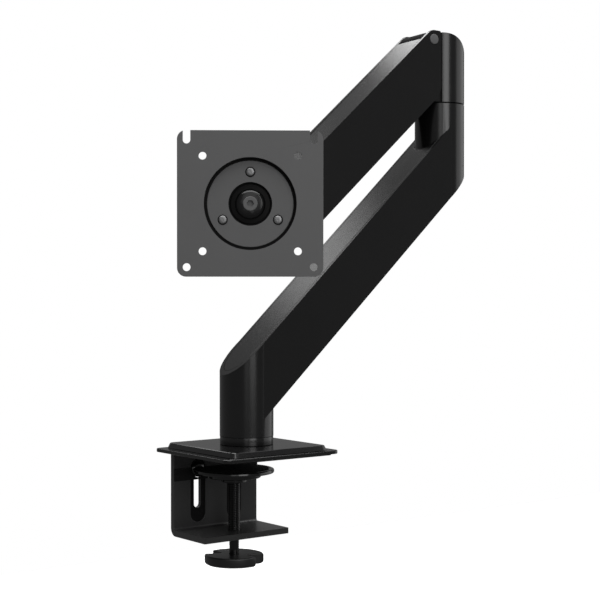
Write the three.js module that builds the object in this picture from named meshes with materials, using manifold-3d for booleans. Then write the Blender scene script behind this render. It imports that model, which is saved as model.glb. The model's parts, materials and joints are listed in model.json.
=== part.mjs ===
// Monitor arm with a desk clamp: a C-clamp, a swivelling pole and lower arm, an elbow, a gas spring
// upper arm with a parallel link, and a head that swivels, tilts and turns a VESA plate.
//
// Millimetres, +Z up. The origin is on the desk's surface, on the axis that the pole swivels about.
// +X runs along the desk's rear edge and -Y towards the person at the desk.
import * as THREE from "three";
import { mergeVertices } from "three/addons/utils/BufferGeometryUtils.js";
import Module from "manifold-3d";

const wasm = await Module();
wasm.setup();

const GAP = 0.3; // between pieces that touch
const ROUND = 24; // sides of a round piece
const WIDE = 60; // past either side of any piece
const deg = THREE.MathUtils.degToRad;

// Base
const PAD = { x: 104, y: 92, thick: 0.8, middle: -4.5, corner: 4 };
const PLATE = { x: 115, y: 107.2, thick: 3, corner: 6, flangeWidth: 72, flangeLow: -23 };
const PLATE_LOW = PAD.thick + GAP;
const PLATE_TOP = PLATE_LOW + PLATE.thick;
const COVER = { x: 93.8, y: 98, top: 8.4, flare: 1.9, wall: 1.8, corner: 5.5 };
const SPINDLE = { radius: 11, flangeRadius: 26, flangeThick: 1.5, top: 60.5, thread: 5, threadTop: 36 };
const SPINDLE_BOLT = { head: 9, headThick: 1.3, hex: 3.5, hexDeep: 0.8, top: 34 };
const RING = { radius: 22.3, low: COVER.top + GAP, high: 15.3 };

// Clamp
const CLAMP = { width: 86, thick: 5, inner: 45.3, front: -1.3, jawTop: -66, bend: 7 };
const SLOT = { x: 18.7, width: 7, pocket: 15, depth: 0.8, pocketLow: -61, pocketHigh: -7, low: -49, high: -11 };
const SLOT_SCREW = { z: -16, head: 6.5, headThick: 1.8, shank: 2.8, hex: 2 };
const STRIP = { low: -24.5, high: -14, thick: 0.8 };
const SCREW_Y = 18.3;
const DISC = { radius: 34, flat: 25.1, low: -17.5, web: 2.3, rim: 3.5, rimWide: 4, hubRadius: 23, hubLow: -21.5 };
const DISC_PAD = { inset: 4.6, thick: 0.9, flatInset: 1.5 };
const SOCKET = { radius: 11, low: -25 };
const ROD = { radius: 5.1, neckRadius: 4.1, neckTop: -74, low: -93 };
const KNOB = { radius: 25, low: -95, mid: -92.5, high: -86.3, taper: 4, apex: 12, notchWide: 23, turn: -57.7 };

// Arms, in a group that is turned about the pole. X runs along the arms here.
const ARM_TURN = -7.26;
const POLE = { radius: 22.5, low: 15.6, bore: 15, boreTop: 62 };
const COLUMN = { radius: 22.25, top: 303.2, bore: 14, ledgeLow: 262, ledgeHigh: 268, below: 15, hole: 8.3 };
const HALF = 22; // half the arms' width
const REACH = 198; // pole axis to elbow axis
const LOW = { slope: 44.8, top: 89.1, deep: 63.4, cover: 5.6, rim: 3 };
const CHANNEL = { from: 34, to: 158, deep: 34, half: 14 }; // the hollow under the top cover
const BUSHES = { low: [16, 28], high: [48, 60] }; // heights of the pole's two bushes
const ELBOW = { low: 304.4, top: 366, backRound: 33, half: 18, columnFrom: 187, hub: 6.6, relief: 9 };
const ELBOW_SPINDLE = { radius: 10.5, top: 330, neck: 8, low: 249 };
const ELBOW_DISC = { radius: 14.4, low: 259.7 };
const ELBOW_NUT = { radius: 13.5, low: 250, high: 259.4 };
const ELBOW_PLUG = { low: 239.5, high: 242.5 };
const ELBOW_WASHER = 20.5;
const LANES = { low: -39, high: -8, right: 12.5, spring: [-12.1, -2.9], link: [6.4, 13.6] };
const UP = { slope: 43.2, length: 210, above: 8, below: 40, inner: 18.4 };
const LIFT = { x: 176.5, z: 358.7 };
const PIN = 4.5; // radius of the two big pivot pins
const LINK = { drop: 24, radius: 7, half: 5, low: 7, high: 13, pin: 4, pinFrom: 2.1, pinTo: 17.5 };
const SPRING = { drop: 20, line: -17.2, y: -7.2, half: 4, radius: 9, rod: 4, pin: 3.5, pinStart: -17.5, pinEnd: 0.6 };
const ROD_EYE = { radius: 8.8, hole: 6.4, at: -13.7, collar: 5.5, collarLong: 9 };
// The spring's parts, measured along the upper arm from the lift pivot.
const SPRING_FAR = -168;
const CYLINDER = { from: -155, to: -52, bore: -100, eye: 6 };
const ROD_FROM = -97;
const FAR_PIN = { start: -20.1, end: 2.2 };
const FAR_BOSS = { along: 8, from: -1.5, to: 2.5, low: -25 };
const CROSS_BARS = [-60, -150]; // two bars that tie the walls together
const CROSS_BAR = { radius: 2.5, z: -36 };

// Head, in a group that is turned about its swivel axis. -Y is forward here.
const HEAD_X = 3.7;
const HEAD_TURN = -28.39;
const HEAD_Z = 205.3;
const FOOT = { radius: 13, low: 176, high: 190, left: -6.5, right: 6.6 };
const KNUCKLE = { low: 191.4, high: 219, radius: 11.5, neck: 10, yoke: 23, half: 18, web: 5.5, ear: 5 };
const SWIVEL_PIN = 6;
const SWIVEL_WASHER = 11;
const TOP_WASHER = 9.5;
const SWIVEL_HEAD = { radius: 8.5, topRadius: 7.6, high: 4.4, hex: 3.5 };
const TILT = { forward: 40, radius: 10, barrel: 9.5, half: 12.4, bolt: 4, neck: 9, neckTo: -55 };
const TILT_BOLT = { head: 6.5, headThick: 6, end: 7, hex: 2.9 };
const TILT_NUT = { radius: 7.4, thick: 5.5 };
const TILT_WASHER = { radius: 8, thick: 0.9 };
// Distances here are in front of the swivel axis.
const TURNTABLE = { hub: 12.2, front: 61.9, flange: 21, flangeFront: 58, flangeBack: 54, back: 52 };
const ROTOR = { inner: 12.5, outer: 30, back: 59.2, front: 63.6, lip: 16.4, lipBack: 61.9 };
const FRICTION_WASHER = { outer: 20, inner: 12.5, back: 58.3, front: 58.9 };
const RETAINING_WASHER = { outer: 15.6, inner: 4.3, back: 62.2, front: 64.2 };
const CONE_WASHER = { outer: 12, inner: 4.3, back: 64.5, front: 67, frontOuter: 9.3 };
const CENTRE_BOLT = { head: 5.8, front: 70.3, seat: 67.3, end: 47.5, hex: 2.9, hexBack: 68.3 };
const FACE = 70.9; // swivel axis to the VESA plate's front
const VESA = { size: 115, corner: 7, thick: 2.5, hole: 3.1, dish: 36.5, floor: 34.5, deep: 4.5, middle: 17.25 };
const HOLES = { near: 37.5, far: 50, slot: 6 }; // half pitches of the screen holes, and the open slots' width
const DISH_SCREW = { pitch: 25.2, hole: 2.3, dimple: 5.3, head: 3.2, shank: 2, long: 6.4, hex: 1.2 };

const MATERIALS = {
  black: new THREE.MeshStandardMaterial({ color: 0x1e1e1f, roughness: 0.38, metalness: 0.3 }),
  plate: new THREE.MeshStandardMaterial({ color: 0x3a3a3b, roughness: 0.42, metalness: 0.4 }),
  plastic: new THREE.MeshStandardMaterial({ color: 0x232324, roughness: 0.45, metalness: 0 }),
  rubber: new THREE.MeshStandardMaterial({ color: 0x121212, roughness: 0.85, metalness: 0 }),
  steel: new THREE.MeshStandardMaterial({ color: 0xa8a8a8, roughness: 0.3, metalness: 1 }),
  darkSteel: new THREE.MeshStandardMaterial({ color: 0x505052, roughness: 0.35, metalness: 0.9 }),
  nylon: new THREE.MeshStandardMaterial({ color: 0xd8d6cc, roughness: 0.5, metalness: 0 }),
};

// Solids -------------------------------------------------------------------------------------------

// A closed three.js geometry as a manifold-3d solid.
function solid(geometry) {
  const bare = geometry.clone();
  bare.deleteAttribute("normal");
  bare.deleteAttribute("uv");
  const merged = mergeVertices(bare, 1e-4);
  return new wasm.Manifold(
    new wasm.Mesh({
      numProp: 3,
      vertProperties: new Float32Array(merged.attributes.position.array),
      triVerts: new Uint32Array(merged.index.array),
    }),
  );
}

function geometryOf(body) {
  const mesh = body.getMesh();
  const geometry = new THREE.BufferGeometry();
  geometry.setAttribute("position", new THREE.BufferAttribute(mesh.vertProperties, 3));
  geometry.setIndex(new THREE.BufferAttribute(mesh.triVerts, 1));
  geometry.computeVertexNormals();
  return geometry;
}

const join = (...bodies) => bodies.reduce((all, body) => all.add(body));
const cut = (body, ...tools) => tools.reduce((left, tool) => left.subtract(tool), body);

// A box from its low and high corners.
function box(x0, x1, y0, y1, z0, z1) {
  const geometry = new THREE.BoxGeometry(x1 - x0, y1 - y0, z1 - z0);
  return solid(geometry.translate((x0 + x1) / 2, (y0 + y1) / 2, (z0 + z1) / 2));
}

// A cylinder or cone standing on (x, y) between two heights.
function post(radius, z0, z1, x = 0, y = 0, topRadius = radius, sides = ROUND) {
  const geometry = new THREE.CylinderGeometry(topRadius, radius, z1 - z0, sides);
  return solid(geometry.rotateX(Math.PI / 2).translate(x, y, (z0 + z1) / 2));
}

// A cylinder along Y, through (x, z).
function axleY(radius, y0, y1, x, z, sides = ROUND) {
  const geometry = new THREE.CylinderGeometry(radius, radius, y1 - y0, sides);
  return solid(geometry.translate(x, (y0 + y1) / 2, z));
}

// A cylinder along X, through (y, z).
function axleX(radius, x0, x1, y, z, sides = ROUND) {
  const geometry = new THREE.CylinderGeometry(radius, radius, x1 - x0, sides);
  return solid(geometry.rotateZ(Math.PI / 2).translate((x0 + x1) / 2, y, z));
}

// A flat outline in X and Y, made solid between two heights.
function slab(shape, z0, z1, curveSegments = 8) {
  const geometry = new THREE.ExtrudeGeometry(shape, { depth: z1 - z0, bevelEnabled: false, curveSegments });
  return solid(geometry.translate(0, 0, z0));
}

// A flat outline in X and Z, made solid between two values of Y.
function side(shape, y0, y1, curveSegments = 8) {
  const geometry = new THREE.ExtrudeGeometry(shape, { depth: y1 - y0, bevelEnabled: false, curveSegments });
  return solid(geometry.rotateX(Math.PI / 2).translate(0, y1, 0));
}

function outline(points) {
  return new THREE.Shape(points.map(([x, y]) => new THREE.Vector2(x, y)));
}

// A rectangle with round corners, centred on (cx, cy).
function roundRect(width, height, radius, cx = 0, cy = 0) {
  const [x, y] = [width / 2 - radius, height / 2 - radius];
  const shape = new THREE.Shape();
  shape.absarc(cx + x, cy + y, radius, 0, Math.PI / 2);
  shape.absarc(cx - x, cy + y, radius, Math.PI / 2, Math.PI);
  shape.absarc(cx - x, cy - y, radius, Math.PI, 1.5 * Math.PI);
  shape.absarc(cx + x, cy - y, radius, 1.5 * Math.PI, 2 * Math.PI);
  return shape;
}

// A slot with round ends, along the second axis of the outline.
function slotShape(width, from, to, across) {
  const shape = new THREE.Shape();
  shape.absarc(across, to, width / 2, 0, Math.PI);
  shape.absarc(across, from, width / 2, Math.PI, 2 * Math.PI);
  return shape;
}

// A round piece about a line along Y through (0, z): a closed profile of [radius, y] points.
function turnedY(points, z, sides = ROUND) {
  const profile = [...points, points[0]].map(([r, y]) => new THREE.Vector2(r, y));
  if (THREE.ShapeUtils.isClockWise(profile)) profile.reverse();
  return solid(new THREE.LatheGeometry(profile, sides).translate(0, 0, z));
}

// Scene graph --------------------------------------------------------------------------------------

const object = new THREE.Group();
const arms = new THREE.Group();
arms.rotation.z = deg(ARM_TURN);
object.add(arms);
const head = new THREE.Group();
head.position.x = HEAD_X;
head.rotation.z = deg(HEAD_TURN);
arms.add(head);

function add(group, name, body, material) {
  const mesh = new THREE.Mesh(geometryOf(body), MATERIALS[material].clone());
  mesh.name = name;
  group.add(mesh);
}

// Base ---------------------------------------------------------------------------------------------

function deskPad() {
  return slab(roundRect(PAD.x, PAD.y, PAD.corner, 0, PAD.middle), 0, PAD.thick, 4);
}

function basePlate() {
  const flat = slab(roundRect(PLATE.x, PLATE.y, PLATE.corner), PLATE_LOW, PLATE_TOP, 5);
  const back = PLATE.y / 2;
  const half = PLATE.flangeWidth / 2;
  const flange = box(-half, half, back - PLATE.thick, back, PLATE.flangeLow, PLATE_LOW + 1);
  const screws = [-SLOT.x, SLOT.x].map((x) => axleY(SLOT_SCREW.shank + GAP, back - 5, back + 5, x, SLOT_SCREW.z));
  const bolt = post(SPINDLE.thread + GAP, -1, 10);
  const { head: boltHead, headThick } = SPINDLE_BOLT;
  const pocket = post(boltHead + 0.4, 0, PLATE_LOW + headThick + GAP);
  return cut(join(flat, flange), bolt, pocket, ...screws);
}

// An outline at height z1 that widens by the factors x and y down to height z0.
function frustum(points, x, y, z0, z1) {
  const shape = new THREE.Shape(points.slice(0, -1));
  const geometry = new THREE.ExtrudeGeometry(shape, { depth: z1 - z0, bevelEnabled: false });
  const place = geometry.translate(0, 0, z0).attributes.position;
  for (let i = 0; i < place.count; i += 1) {
    if (place.getZ(i) < (z0 + z1) / 2) place.setXY(i, place.getX(i) * x, place.getY(i) * y);
  }
  return solid(geometry);
}

function baseCover() {
  const low = PLATE_TOP + GAP;
  const shells = [0, COVER.wall].map((inset) => {
    const plan = roundRect(COVER.x - 2 * inset, COVER.y - 2 * inset, COVER.corner).getPoints(4);
    const x = 1 + (2 * COVER.flare) / COVER.x;
    const y = 1 + (2 * COVER.flare) / COVER.y;
    return frustum(plan, x, y, low - inset, COVER.top - inset);
  });
  return cut(shells[0], shells[1], post(SPINDLE.radius + 2, 0, 20));
}

function poleSpindle() {
  const low = PLATE_TOP + GAP;
  const flange = post(SPINDLE.flangeRadius, low, low + SPINDLE.flangeThick);
  const shaft = post(SPINDLE.radius, low, SPINDLE.top);
  return cut(join(flange, shaft), post(SPINDLE.thread + GAP, 0, SPINDLE.threadTop));
}

function spindleBolt() {
  const { head: radius, headThick, hex, hexDeep, top } = SPINDLE_BOLT;
  const headDisc = post(radius, PLATE_LOW, PLATE_LOW + headThick);
  const socket = post(hex, 0, PLATE_LOW + hexDeep, 0, 0, hex, 6);
  return cut(join(headDisc, post(SPINDLE.thread, PLATE_LOW, top)), socket);
}

function poleRing() {
  return cut(post(RING.radius, RING.low, RING.high, 0, 0, RING.radius, 36), post(SPINDLE.radius + GAP, 0, 30));
}

// Clamp --------------------------------------------------------------------------------------------

function clampBracket() {
  const { thick, inner, front, jawTop, bend } = CLAMP;
  const back = inner + thick;
  const low = jawTop - thick;
  const shape = new THREE.Shape();
  shape.moveTo(front, low);
  shape.absarc(back - bend, low + bend, bend, -Math.PI / 2, 0, false);
  shape.lineTo(back, PLATE_LOW - GAP);
  shape.lineTo(inner, PLATE_LOW - GAP);
  shape.absarc(back - bend, low + bend, bend - thick, 0, -Math.PI / 2, true);
  shape.lineTo(front, jawTop);
  shape.closePath();
  const extrude = new THREE.ExtrudeGeometry(shape, { depth: CLAMP.width, bevelEnabled: false, curveSegments: 6 });
  // The outline's two axes become Y and Z, and its depth runs along X.
  const turned = new THREE.Matrix4().set(0, 0, 1, -CLAMP.width / 2, 1, 0, 0, 0, 0, 1, 0, 0, 0, 0, 0, 1);
  const strip = solid(extrude.applyMatrix4(turned));
  const { width, pocket, depth, pocketLow, pocketHigh } = SLOT;
  const slots = [-SLOT.x, SLOT.x].flatMap((x) => [
    side(slotShape(width, SLOT.low + width / 2, SLOT.high - width / 2, x), inner - 5, back + 5),
    side(slotShape(pocket, pocketLow + pocket / 2, pocketHigh - pocket / 2, x), inner - 5, inner + depth),
  ]);
  return cut(strip, ...slots, post(ROD.radius + GAP, low - 5, jawTop + 5, 0, SCREW_Y));
}

function slotScrew(x) {
  const { z, head: radius, headThick, shank, hex } = SLOT_SCREW;
  const seat = CLAMP.inner + SLOT.depth - GAP;
  const headDisc = axleY(radius, seat - headThick, seat, x, z);
  const body = axleY(shank, seat - 1, PLATE.y / 2 + 2, x, z, 24);
  const socket = axleY(hex, seat - 5, seat - 1, x, z, 6);
  return cut(join(headDisc, body), socket);
}

function edgeStrip() {
  const half = CLAMP.width / 2;
  const back = CLAMP.inner - GAP;
  const strip = box(-half, half, back - STRIP.thick, back, STRIP.low, STRIP.high);
  const heads = [-SLOT.x, SLOT.x].map((x) => axleY(SLOT_SCREW.head + GAP, back - 5, back + 5, x, SLOT_SCREW.z));
  return cut(strip, ...heads);
}

// Everything on the leg's side of the disc's flat edge.
const behindFlat = (inset) => box(-WIDE, WIDE, SCREW_Y + DISC.flat - inset, SCREW_Y + WIDE, -WIDE, 0);

function pressureDisc() {
  const { radius, low, web, rim, rimWide, hubRadius, hubLow } = DISC;
  const plate = post(radius, low, low + rim, 0, SCREW_Y, radius, 44);
  const dish = post(radius - rimWide, low + web, low + rim + 1, 0, SCREW_Y, radius - rimWide + 1, 44);
  const hub = post(hubRadius - 1.4, hubLow, low + 0.5, 0, SCREW_Y, hubRadius);
  const socket = post(SOCKET.radius, SOCKET.low, hubLow + 1, 0, SCREW_Y);
  const bore = post(ROD.radius + GAP, SOCKET.low - 1, low + 0.4, 0, SCREW_Y);
  return cut(join(plate, hub, socket), dish, behindFlat(0), bore);
}

function discPad() {
  const low = DISC.low + DISC.web + GAP;
  const radius = DISC.radius - DISC_PAD.inset;
  return cut(post(radius, low, low + DISC_PAD.thick, 0, SCREW_Y, radius, 44), behindFlat(DISC_PAD.flatInset));
}

function clampScrew() {
  return join(
    post(ROD.radius, ROD.neckTop, DISC.low + 0.1, 0, SCREW_Y),
    post(ROD.neckRadius, ROD.low, ROD.neckTop + 1, 0, SCREW_Y),
  );
}

function clampKnob() {
  const { radius, low, mid, high, taper } = KNOB;
  const lobe = join(
    post(radius, mid, high, 0, SCREW_Y, radius, 44),
    post(radius - taper, low, mid, 0, SCREW_Y, radius, 44),
  );
  const notches = [0, 180].map((turn) => {
    const shape = outline([[KNOB.apex, -1.5], [KNOB.radius + 5, -KNOB.notchWide / 2],
      [KNOB.radius + 5, KNOB.notchWide / 2], [KNOB.apex, 1.5]]);
    return slab(shape, KNOB.low - 5, KNOB.high + 5).rotate([0, 0, KNOB.turn + turn]).translate([0, SCREW_Y, 0]);
  });
  return cut(lobe, ...notches, post(ROD.neckRadius + GAP, ROD.low - GAP, 0, 0, SCREW_Y));
}

// Lower arm ----------------------------------------------------------------------------------------

const lowSlope = Math.tan(deg(LOW.slope));
const lowTop = (x) => LOW.top + lowSlope * x;
const lowBottom = (x) => lowTop(x) - LOW.deep;

// The space under the sloping top plane, lowered by a given drop.
function underTop(drop) {
  const far = 400;
  const points = [[-far, -far], [far, -far], [far, lowTop(far) - drop], [-far, lowTop(-far) - drop]];
  return side(outline(points), -WIDE, WIDE);
}

// The plan of the top cover: a round end over the pole and a hollow end at the column.
function coverPlan(inset) {
  const half = HALF - LOW.rim - inset;
  const shape = new THREE.Shape();
  shape.absarc(0, 0, half, Math.PI / 2, 1.5 * Math.PI);
  shape.lineTo(REACH, -half);
  shape.lineTo(REACH, half);
  shape.closePath();
  const hollow = COLUMN.radius + GAP + inset;
  return cut(slab(shape, 0, 400, 20), post(hollow, -1, 401, REACH, 0, hollow, 44));
}

function lowerArm() {
  const corners = [[0, lowBottom(0)], [REACH, lowBottom(REACH)], [REACH, lowTop(REACH)], [0, lowTop(0)]];
  const beam = side(outline(corners), -HALF, HALF);
  const pole = post(POLE.radius, POLE.low, lowTop(POLE.radius), 0, 0, POLE.radius, 48);
  const column = post(COLUMN.radius, lowBottom(REACH) - 30, COLUMN.top, REACH, 0, COLUMN.radius, 48);
  const recess = cut(coverPlan(0), underTop(LOW.cover + GAP));
  const { from, to, deep } = CHANNEL;
  const channelShape = [[from, lowTop(from)], [from, lowTop(from) - deep], [to, lowTop(to) - deep], [to, lowTop(to)]];
  return cut(
    join(beam, pole.intersect(underTop(0)), cut(column, underTop(LOW.deep))),
    recess,
    side(outline(channelShape), -CHANNEL.half, CHANNEL.half),
    post(POLE.bore, 0, POLE.boreTop),
    post(COLUMN.bore, COLUMN.ledgeHigh, COLUMN.top + 1, REACH),
    post(COLUMN.hole, 200, COLUMN.top, REACH),
    post(COLUMN.below, 150, COLUMN.ledgeLow, REACH),
  );
}

function lowerCover() {
  return cut(coverPlan(GAP), underTop(LOW.cover)).intersect(underTop(0));
}

function bush(outer, inner, low, high, x = 0) {
  return cut(post(outer, low, high, x), post(inner, low - 1, high + 1, x));
}

// Elbow --------------------------------------------------------------------------------------------

function elbowBracket() {
  const { low, top, backRound, half, columnFrom, hub, relief } = ELBOW;
  const back = REACH + COLUMN.radius;
  const shape = new THREE.Shape();
  shape.moveTo(LIFT.x - hub, low);
  shape.lineTo(back, low);
  shape.absarc(back - backRound, top - backRound, backRound, 0, Math.PI / 2, false);
  shape.lineTo(LIFT.x, top);
  shape.lineTo(LIFT.x, LIFT.z);
  shape.lineTo(LIFT.x - hub, LIFT.z);
  shape.closePath();
  const disc = post(COLUMN.radius, low, top, REACH, 0, COLUMN.radius, 48);
  const round = side(shape, -HALF - 1, HALF + 1, 8).intersect(cut(disc, box(0, columnFrom, -WIDE, WIDE, 0, 400)));
  const tongue = side(shape, -half, half, 8).intersect(join(disc, box(0, REACH, -WIDE, WIDE, 0, 400)));
  const wedge = new THREE.Shape();
  wedge.moveTo(LIFT.x, LIFT.z);
  wedge.absarc(LIFT.x, LIFT.z, relief, deg(35), Math.PI, false);
  wedge.closePath();
  const lanes = [LANES.spring, LANES.link].map(([y0, y1]) =>
    box(LIFT.x - 20, LIFT.x + LANES.right, y0, y1, LIFT.z + LANES.low, LIFT.z + LANES.high),
  );
  return cut(
    join(cut(join(round, tongue), side(wedge, -WIDE, WIDE, 12)), axleY(hub, -half, half, LIFT.x, LIFT.z)),
    ...lanes,
    axleY(PIN + GAP, -WIDE, WIDE, LIFT.x, LIFT.z, 24),
    axleY(SPRING.pin + GAP, -WIDE, SPRING.pinEnd + GAP, LIFT.x, LIFT.z - SPRING.drop, 20),
    axleY(LINK.pin + GAP, LINK.pinFrom - GAP, WIDE, LIFT.x, LIFT.z - LINK.drop, 20),
    post(ELBOW_SPINDLE.radius + GAP, low - 5, ELBOW_SPINDLE.top + GAP, REACH),
  );
}

function elbowSpindle() {
  const { radius, top, neck, low } = ELBOW_SPINDLE;
  return join(post(radius, COLUMN.ledgeHigh + GAP, top, REACH), post(neck, low, COLUMN.ledgeHigh + 1, REACH));
}

function elbowBush() {
  return bush(COLUMN.bore - GAP, ELBOW_SPINDLE.radius + GAP, COLUMN.ledgeHigh + GAP, COLUMN.top - GAP, REACH);
}

function elbowWasher() {
  return bush(ELBOW_WASHER, ELBOW_SPINDLE.radius + GAP, COLUMN.top + GAP, ELBOW.low - GAP, REACH);
}

function elbowDisc() {
  return bush(ELBOW_DISC.radius, ELBOW_SPINDLE.neck + GAP, ELBOW_DISC.low, COLUMN.ledgeLow - GAP, REACH);
}

function elbowNut() {
  const { radius, low, high } = ELBOW_NUT;
  return cut(post(radius, low, high, REACH, 0, radius, 6), post(ELBOW_SPINDLE.neck + GAP, low - 5, high + 5, REACH));
}

function linkPin({ x, z }) {
  return axleY(LINK.pin, LINK.pinFrom, LINK.pinTo, x, z - LINK.drop, 20);
}

function anchorPin() {
  return axleY(SPRING.pin, SPRING.pinStart, SPRING.pinEnd, LIFT.x, LIFT.z - SPRING.drop, 20);
}

// Upper arm, in a group at the lift pivot: X runs up the arm to that pivot, Z square to it ----------

const upper = new THREE.Group();
upper.position.set(LIFT.x, 0, LIFT.z);
upper.rotation.y = -deg(UP.slope);
arms.add(upper);

// A point of the rest pose, given along X and Z from the lift pivot, in the upper arm's own axes.
function inUpper(x, z) {
  const [c, s] = [Math.cos(deg(UP.slope)), Math.sin(deg(UP.slope))];
  return [c * x + s * z, c * z - s * x];
}

function upperArm() {
  const { slope, length, above, below, inner } = UP;
  const shape = new THREE.Shape();
  shape.moveTo(-length + 13, -below);
  shape.lineTo(-33, -below);
  [[6.3, -45.4], [7.8, -43], [7.8, 6], [6.2, 7.7]].forEach(([x, z]) => shape.lineTo(...inUpper(x, z)));
  shape.absarc(0, 0, above, deg(90 - slope), deg(90), false);
  shape.absarc(-length, 0, above + 1, deg(90), deg(200), false);
  shape.closePath();
  const walls = [-HALF, inner].map((y) => side(shape, y, y + HALF - inner, 10));
  const across = inner + 1;
  const { along } = FAR_BOSS;
  return cut(
    join(
      ...walls,
      box(-length + 15, -18, -across, across, above - 3.4, above - 2),
      box(SPRING_FAR - along, SPRING_FAR + along, FAR_BOSS.from, FAR_BOSS.to, FAR_BOSS.low, above - 2.5),
      ...CROSS_BARS.map((x) => axleY(CROSS_BAR.radius, -across, across, x, CROSS_BAR.z, 20)),
    ),
    axleY(PIN + GAP, -WIDE, WIDE, 0, 0, 24),
    axleY(PIN + GAP, -WIDE, WIDE, -length, 0, 24),
    axleY(SPRING.pin + GAP, FAR_PIN.start - GAP, FAR_PIN.end + 0.8, SPRING_FAR, SPRING.line, 20),
  );
}

function upperCover() {
  return box(-UP.length + 10, -8.6, -HALF + 4, HALF - 4, UP.above - 1.7, UP.above + 0.1);
}

function endCap() {
  const shape = new THREE.Shape();
  shape.absarc(0, 0, 8.4, deg(93), deg(150), false);
  shape.absarc(0, 0, 7, deg(150), deg(93), true);
  return side(shape, -HALF + 4, HALF - 4, 12);
}

function springCylinder() {
  const { radius, rod, line, y, half, pin } = SPRING;
  const { from, to, bore, eye } = CYLINDER;
  const body = axleX(radius, from, to, y, line, 24);
  const neck = box(SPRING_FAR, from + 1, y - half, y + half, line - eye, line + eye);
  const end = axleY(eye, y - half, y + half, SPRING_FAR, line, 20);
  const rodHole = axleX(rod + GAP, bore, to + 2, y, line, 24);
  return cut(join(body, neck, end), rodHole, axleY(pin + GAP, -WIDE, WIDE, SPRING_FAR, line, 24));
}

function springPin() {
  return axleY(SPRING.pin, FAR_PIN.start, FAR_PIN.end, SPRING_FAR, SPRING.line, 20);
}

function springRod() {
  return axleX(SPRING.rod, ROD_FROM, ROD_EYE.at - ROD_EYE.hole - 0.9, SPRING.y, SPRING.line, 24);
}

function rodEnd() {
  const { rod, line, y, half } = SPRING;
  const { radius, hole, at, collar, collarLong } = ROD_EYE;
  const start = at - radius - collarLong;
  const reach = rod + GAP;
  const block = box(start, at - half, y - half, y + half, line - collar, line + collar);
  const socket = box(start - 1, at - hole - 0.6, y - half - 1, y + half + 1, line - reach, line + reach);
  return cut(
    join(block, axleY(radius, y - half, y + half, at, line, 24)),
    axleY(hole, -WIDE, WIDE, at, line, 24),
    socket,
  );
}

// Link and head --------------------------------------------------------------------------------------

const tip = {
  x: LIFT.x - UP.length * Math.cos(deg(UP.slope)),
  z: LIFT.z - UP.length * Math.sin(deg(UP.slope)),
};

function parallelLink() {
  const { drop, radius, half, low, high, pin } = LINK;
  const ends = [LIFT, tip].map(({ x, z }) => [x, z - drop]);
  const bosses = ends.map(([x, z]) => axleY(radius, low, high, x, z, 24));
  const [[x0, z0], [x1, z1]] = ends;
  const [dx, dz] = [half * Math.sin(deg(UP.slope)), half * Math.cos(deg(UP.slope))];
  const bar = side(
    outline([[x1 - dx, z1 + dz], [x1 + dx, z1 - dz], [x0 + dx, z0 - dz], [x0 - dx, z0 + dz]]),
    low,
    high,
  );
  const holes = ends.map(([x, z]) => axleY(pin + GAP, -WIDE, WIDE, x, z, 20));
  return cut(join(...bosses, bar), ...holes);
}

function headBracket() {
  const { radius, low, high, left, right } = FOOT;
  const shape = new THREE.Shape();
  shape.moveTo(tip.x + left, low);
  shape.lineTo(tip.x + right, low);
  shape.lineTo(tip.x + right, tip.z);
  shape.absarc(tip.x, tip.z, -left, 0, Math.PI, false);
  shape.closePath();
  const foot = join(post(radius, low, high, HEAD_X), box(HEAD_X, tip.x, -radius, radius, low, high));
  const [y0, y1] = LANES.link;
  return cut(
    join(foot, side(shape, -18, 18, 12)),
    box(tip.x - LINK.radius - 0.6, tip.x + 20, y0, y1, tip.z - 36, tip.z - 8.5),
    axleY(PIN + GAP, -WIDE, WIDE, tip.x, tip.z, 24),
    axleY(LINK.pin + GAP, LINK.pinFrom - GAP, WIDE, tip.x, tip.z - LINK.drop, 20),
    post(SWIVEL_PIN + GAP, low + 2, high + 5, HEAD_X),
  );
}

function swivelBolt() {
  const top = KNUCKLE.high + 1.8;
  const { radius, topRadius, high, hex } = SWIVEL_HEAD;
  const socket = post(hex, top + 2, top + 6, 0, 0, hex, 6);
  const pin = post(SWIVEL_PIN, FOOT.low + 2 + GAP, top + 1);
  return cut(join(pin, post(radius, top, top + high, 0, 0, topRadius)), socket);
}

function headKnuckle() {
  const { low, high, radius, neck, yoke, half, web, ear } = KNUCKLE;
  const ears = [-half, half - ear].map((x) =>
    join(
      box(x, x + ear, -TILT.forward, -yoke, HEAD_Z - TILT.radius, HEAD_Z + TILT.radius),
      axleX(TILT.radius, x, x + ear, -TILT.forward, HEAD_Z),
    ),
  );
  return cut(
    join(
      post(radius, low, high),
      box(-neck, neck, -yoke - 1, 0, HEAD_Z - 12, HEAD_Z + 12),
      box(-half, half, -yoke - web, -yoke, HEAD_Z - 12, HEAD_Z + 12),
      ...ears,
    ),
    post(SWIVEL_PIN + GAP, low - 5, high + 5),
    axleX(TILT.bolt + GAP, -WIDE, WIDE, -TILT.forward, HEAD_Z, 20),
  );
}

const EAR_OUT = KNUCKLE.half + 1.5;

function tiltBolt() {
  const { head: radius, headThick, end, hex } = TILT_BOLT;
  const shank = axleX(TILT.bolt, -EAR_OUT - 1, EAR_OUT + end, -TILT.forward, HEAD_Z, 24);
  const headDisc = axleX(radius, -EAR_OUT - headThick, -EAR_OUT, -TILT.forward, HEAD_Z, 24);
  return cut(join(shank, headDisc), axleX(hex, -EAR_OUT - 10, -EAR_OUT - 2.5, -TILT.forward, HEAD_Z, 6));
}

function tiltNut() {
  return cut(
    axleX(TILT_NUT.radius, EAR_OUT + GAP, EAR_OUT + GAP + TILT_NUT.thick, -TILT.forward, HEAD_Z, 6),
    axleX(TILT.bolt + GAP, EAR_OUT - 5, EAR_OUT + 9, -TILT.forward, HEAD_Z, 24),
  );
}

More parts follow.
